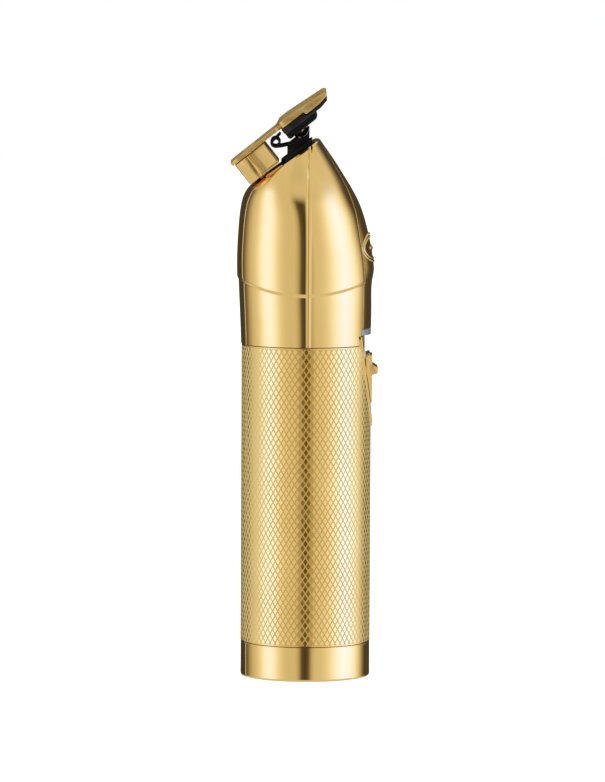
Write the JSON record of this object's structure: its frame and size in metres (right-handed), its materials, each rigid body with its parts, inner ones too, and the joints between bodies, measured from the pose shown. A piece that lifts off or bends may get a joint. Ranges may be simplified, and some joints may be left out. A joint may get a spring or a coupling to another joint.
{
  "type": "cordless T-blade hair trimmer",
  "caption": "Cordless T-blade hair trimmer: polished two-part housing, knurled grip barrel, thumb slide, oscillating arm drive and a tilted T-shaped blade.",
  "frame": {"origin": "centre of the flat base", "axes": "+Z along the barrel to the blade, +X to the thumb slide side, Y across the blade"},
  "size_m": [0.0416, 0.04, 0.1645],
  "materials": {
    "mirror_gold": "polished gold plating on cast zinc",
    "satin_gold": "gold anodised aluminium with a diamond knurl",
    "blade_gold": "gold coated ground steel",
    "black_plastic": "moulded, low sheen",
    "grey_plastic": "moulded, glass filled",
    "smoked_clear": "translucent grey window",
    "steel": "bright machined",
    "black_steel": "black coated, ground at the teeth",
    "brass": "turned brass",
    "copper": "enamelled copper windings",
    "board_green": "green solder mask",
    "cell_wrap": "shrink sleeve",
    "red_wire": "insulated stranded wire"
  },
  "bodies": {
    "handle": {"front_shell": "mirror_gold", "rear_shell": "mirror_gold", "neck_cover": "black_plastic", "badge_plate": "mirror_gold", "indicator_lens": "smoked_clear", "switch_bezel": "mirror_gold", "slide_switch": "steel", "grip_barrel": "satin_gold", "housing_collar": "grey_plastic", "base_collar": "grey_plastic", "end_cap": "mirror_gold", "jack_bezel": "black_plastic", "charge_jack": "black_plastic", "jack_pin": "steel", "fixed_blade": "blade_gold", "blade_bracket": "mirror_gold", "blade_screw_left": "steel", "blade_screw_right": "steel", "tension_spring": "black_steel", "arm_pivot_pin": "steel", "drive_frame": "grey_plastic", "bracket_screw_left": "steel", "bracket_screw_right": "steel", "motor_screw_left": "steel", "motor_screw_right": "steel", "motor_can": "steel", "motor_end_bell": "black_plastic", "motor_bearing": "brass", "chassis": "grey_plastic", "battery_cell": "cell_wrap", "battery_tab_bottom": "steel", "battery_tab_top": "steel", "circuit_board": "board_green", "indicator_led": "smoked_clear", "motor_lead_red": "red_wire", "motor_lead_black": "black_plastic"},
    "slide": {"power_slider": "mirror_gold", "switch_actuator": "black_plastic"},
    "rotor": {"rotor_shaft": "steel", "motor_armature": "copper", "eccentric_cam": "brass"},
    "arm": {"drive_arm": "black_plastic", "drive_tip": "brass"},
    "cutter": {"moving_blade": "black_steel", "blade_follower": "black_plastic"}
  },
  "joints": [
    {"name": "power_slide", "type": "slide", "parent": "handle", "child": "slide", "axis": [0, 0, 1], "range_m": [0, 0.0035]},
    {"name": "rotor_spin", "type": "hinge", "parent": "handle", "child": "rotor", "pos_m": [-0.0025, 0, 0.101], "axis": [0, 0, 1], "continuous": true},
    {"name": "arm_rock", "type": "hinge", "parent": "handle", "child": "arm", "pos_m": [-0.0025, 0, 0.128], "axis": [1, 0, 0], "range_deg": [-2.7, 2.7]},
    {"name": "cutter_slide", "type": "slide", "parent": "handle", "child": "cutter", "axis": [0, 1, 0], "range_m": [-0.00122, 0.00122]}
  ],
  "couplings": [
    {"joint": "arm_rock", "follows": "cutter_slide", "rad_per_m": -38.61}
  ]
}
